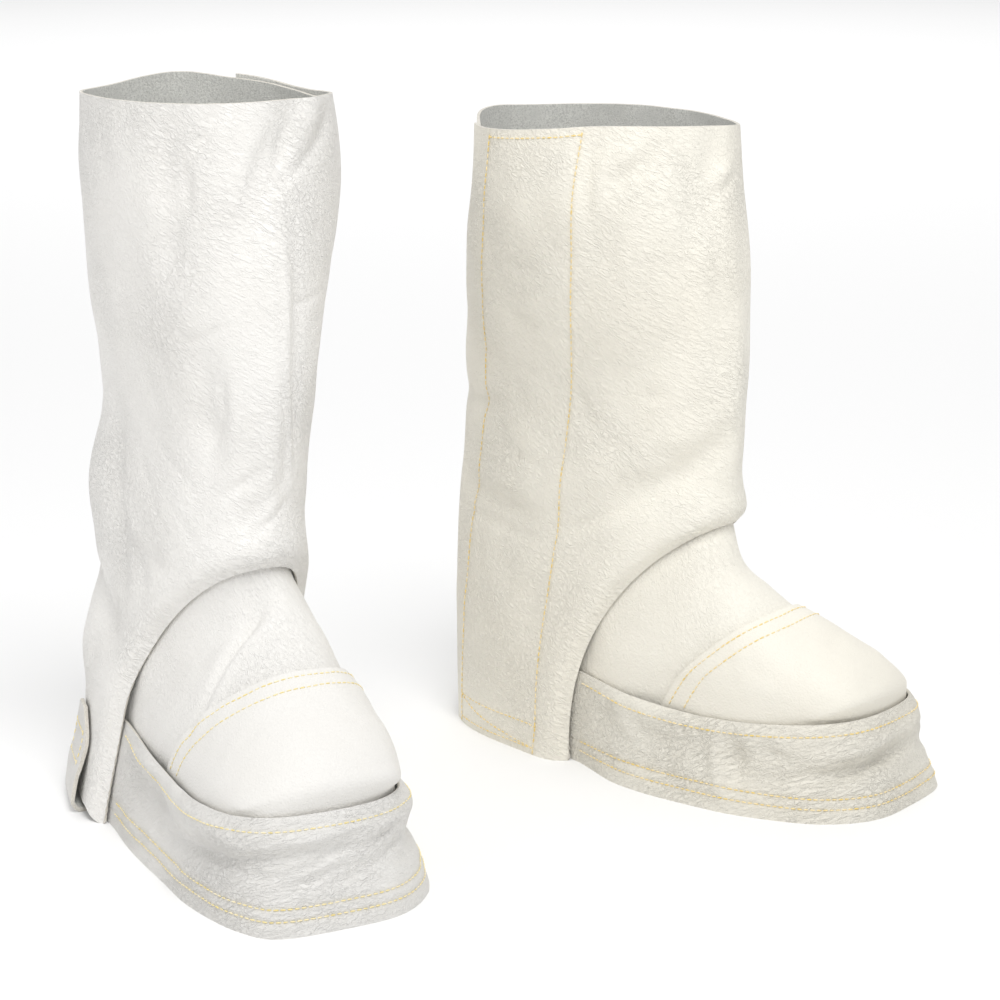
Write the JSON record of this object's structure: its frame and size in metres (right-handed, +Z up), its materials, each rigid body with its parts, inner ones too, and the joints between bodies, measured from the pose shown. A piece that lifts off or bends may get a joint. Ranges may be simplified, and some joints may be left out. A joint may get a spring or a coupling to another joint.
{
  "type": "pair of leather gaiters",
  "caption": "Pair of welder's leather gaiters: open leg tubes with a lapped closure, instep and toe covers, a deep skirt round each foot and a strap under each heel.",
  "frame": {"origin": "middle of the pair's bounding box, on the ground that the hems stand on", "axes": "+Z up, +X from the left gaiter to the right one across the set, -Y to the side that the toes point to"},
  "size_m": [0.504, 0.3989, 0.4046],
  "materials": {
    "right_leather": "smooth grain, suede inside",
    "left_leather": "smooth grain, suede inside"
  },
  "bodies": {
    "root": {"right_shaft": "right_leather", "right_vamp": "right_leather", "right_toe_cap": "right_leather", "right_skirt": "right_leather", "right_strap": "right_leather", "left_shaft": "left_leather", "left_vamp": "left_leather", "left_toe_cap": "left_leather", "left_skirt": "left_leather", "left_strap": "left_leather"}
  },
  "joints": []
}
